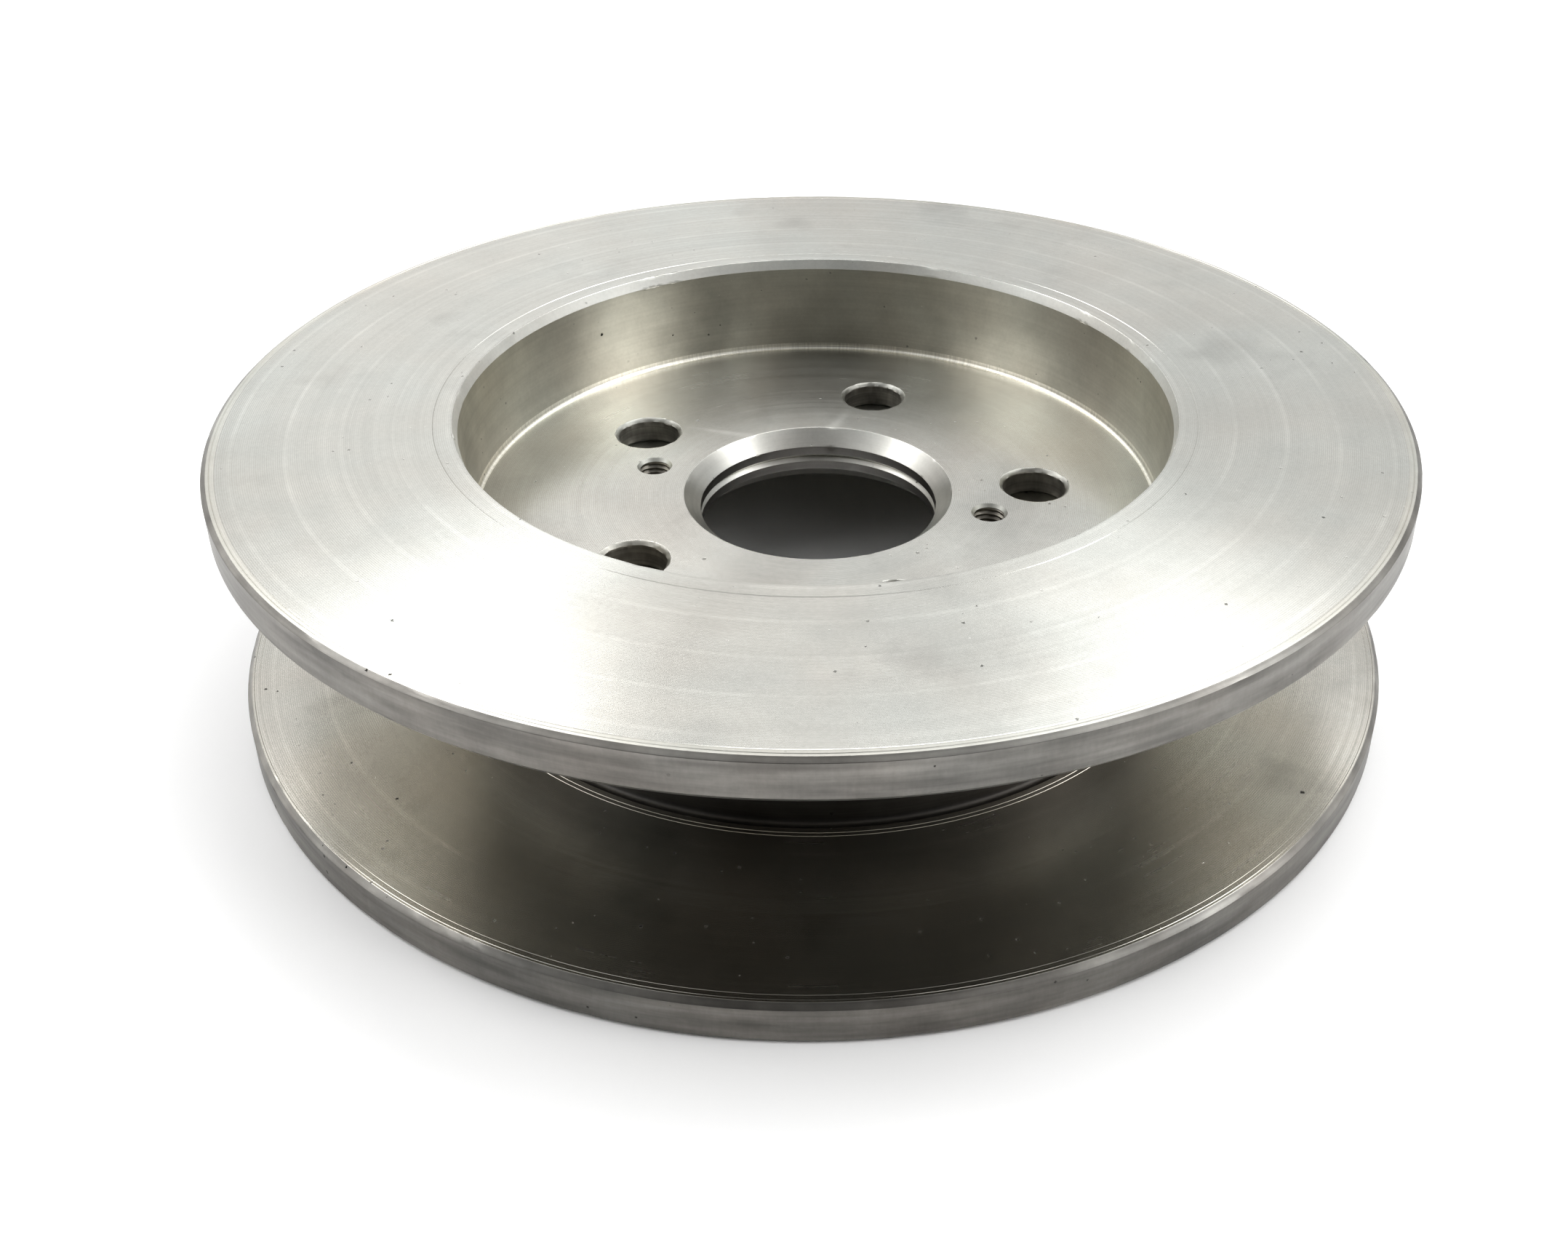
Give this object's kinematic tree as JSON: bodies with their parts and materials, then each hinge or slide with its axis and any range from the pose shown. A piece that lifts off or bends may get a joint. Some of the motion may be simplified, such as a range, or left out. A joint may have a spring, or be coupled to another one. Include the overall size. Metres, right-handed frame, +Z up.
{
  "type": "brake disc rotor pair",
  "caption": "Matched pair of solid one-piece cast iron brake rotors, stacked hat to hat, each with a pilot bore, lug holes and tapped jack holes.",
  "frame": {"origin": "on the rotors' shared axis, in the plane that the lower rotor lies on", "axes": "+Z up along the rotors' axis; +X through the upper rotor's first lug hole"},
  "size_m": [0.259, 0.259, 0.0624],
  "materials": {
    "lower_iron": "fine turned, bare metal",
    "upper_iron": "fine turned, bare metal"
  },
  "bodies": {
    "lower_disc": {"lower_rotor": "lower_iron"},
    "upper_disc": {"upper_rotor": "upper_iron"}
  },
  "joints": [
    {"name": "upper_disc_turn", "type": "hinge", "parent": "lower_disc", "child": "upper_disc", "pos_m": [0, 0, 0.0312], "axis": [0, 0, 1], "continuous": true}
  ]
}
